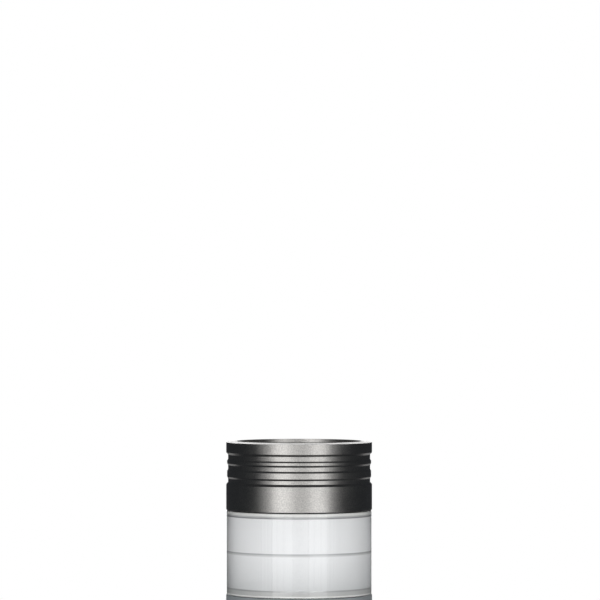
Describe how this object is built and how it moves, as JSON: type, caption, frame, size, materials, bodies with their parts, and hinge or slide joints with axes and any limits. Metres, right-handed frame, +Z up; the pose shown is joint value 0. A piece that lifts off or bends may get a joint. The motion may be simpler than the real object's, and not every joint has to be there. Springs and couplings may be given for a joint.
{
  "type": "survey target",
  "caption": "Cylindrical pole-mounted survey target: grooved metal collar with a threaded recess, clear sleeve over reflective sheeting, light ring and battery housing with a hinged door.",
  "frame": {"origin": "centre of the underside of the base, on the object's axis", "axes": "+Z up along the axis towards the open collar; -Y is the front with the power button; +Y is the battery door"},
  "size_m": [0.066, 0.066, 0.165],
  "materials": {
    "gunmetal_anodised": "turned, bead blasted and anodised gunmetal grey, satin",
    "stainless_steel": "turned",
    "turned_aluminium": "turned, clear anodised",
    "black_rubber": "moulded, matte",
    "reflective_sheeting": "silver-white microprism retroreflective sheet",
    "clear_acrylic": "clear, polished",
    "smoked_acrylic": "infrared-passing dark window, polished",
    "white_plastic": "moulded, satin",
    "grey_plastic": "moulded, fine texture",
    "dark_plastic": "moulded, satin",
    "board_laminate": "solder-masked glass laminate",
    "light_epoxy": "clear tinted epoxy",
    "button_rubber": "moulded silicone, matte",
    "battery_case": "moulded, satin",
    "brass": "plain"
  },
  "bodies": {
    "target_body": {"top_collar": "gunmetal_anodised", "mount_plate": "turned_aluminium", "top_thread_insert": "stainless_steel", "plate_screw_1": "stainless_steel", "plate_screw_2": "stainless_steel", "plate_screw_3": "stainless_steel", "sleeve_gasket_top": "black_rubber", "upper_end_ring": "white_plastic", "reflector_drum": "turned_aluminium", "reflective_sheet_upper": "reflective_sheeting", "reflective_sheet_lower": "reflective_sheeting", "lower_end_ring": "white_plastic", "window_sleeve": "clear_acrylic", "sleeve_gasket_bottom": "black_rubber", "tie_rod_1": "stainless_steel", "tie_rod_2": "stainless_steel", "tie_rod_3": "stainless_steel", "upper_housing": "grey_plastic", "deck_screw_1": "stainless_steel", "deck_screw_2": "stainless_steel", "deck_screw_3": "stainless_steel", "led_window": "smoked_acrylic", "led_board": "board_laminate", "tracking_led_1": "light_epoxy", "tracking_led_2": "light_epoxy", "tracking_led_3": "light_epoxy", "tracking_led_4": "light_epoxy", "tracking_led_5": "light_epoxy", "tracking_led_6": "light_epoxy", "battery_housing": "grey_plastic", "status_light_1": "clear_acrylic", "status_light_2": "clear_acrylic", "status_light_3": "clear_acrylic", "button_bezel": "dark_plastic", "power_switch": "dark_plastic", "main_board": "board_laminate", "tilt_sensor": "dark_plastic", "radio_module": "stainless_steel", "battery_tray": "dark_plastic", "battery_contact_1": "brass", "battery_contact_2": "brass", "battery_pack": "battery_case", "door_gasket": "black_rubber", "door_hinge_pin": "stainless_steel", "base_gasket": "black_rubber", "base_collar": "gunmetal_anodised", "base_thread_insert": "stainless_steel", "base_screw_1": "stainless_steel", "base_screw_2": "stainless_steel", "base_screw_3": "stainless_steel", "base_screw_4": "stainless_steel"},
    "button": {"power_button": "button_rubber"},
    "door": {"battery_door": "grey_plastic"},
    "latch": {"door_latch": "stainless_steel"}
  },
  "joints": [
    {"name": "power_button_press", "type": "slide", "parent": "target_body", "child": "button", "axis": [0, 1, 0], "range_m": [0, 0.0012], "stiffness_N_per_m": 900, "springref_m": -0.0004},
    {"name": "battery_door_hinge", "type": "hinge", "parent": "target_body", "child": "door", "pos_m": [0, 0.0286, 0.0262], "axis": [-1, 0, 0], "range_deg": [0, 110]},
    {"name": "door_latch_turn", "type": "hinge", "parent": "door", "child": "latch", "pos_m": [0, 0.0285, 0.0712], "axis": [0, 1, 0], "range_deg": [0, 90]}
  ]
}
